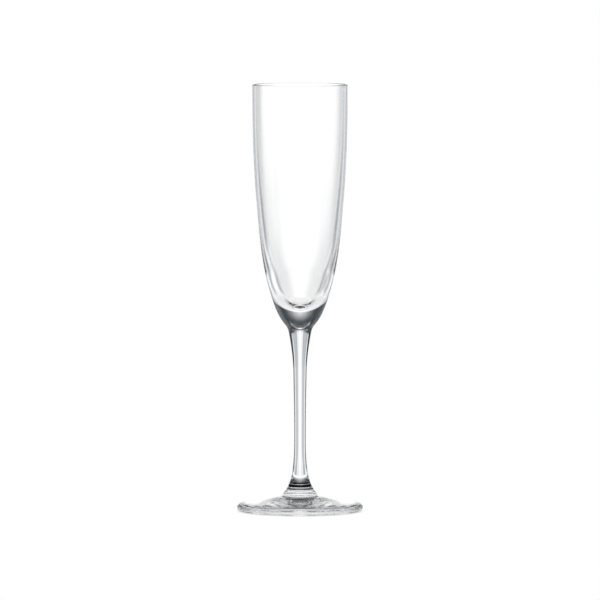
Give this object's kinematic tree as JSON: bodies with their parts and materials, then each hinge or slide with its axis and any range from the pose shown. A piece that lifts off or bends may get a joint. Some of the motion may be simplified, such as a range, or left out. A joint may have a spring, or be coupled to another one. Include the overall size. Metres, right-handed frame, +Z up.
{
  "type": "champagne flute",
  "caption": "Clear stemmed champagne flute: tall narrow cup with a thick rounded base, slim waisted stem and a round flared foot.",
  "frame": {"origin": "centre of the foot's resting ring, on the surface the glass stands on", "axes": "+Z up along the axis of the glass, from the foot to the mouth; the glass is turned about Z, so X and Y are alike"},
  "size_m": [0.068, 0.068, 0.23],
  "materials": {
    "clear_glass": "colourless fire-polished crystal glass, index about 1.52"
  },
  "bodies": {
    "root": {"bowl": "clear_glass", "stem": "clear_glass", "foot": "clear_glass"}
  },
  "joints": []
}
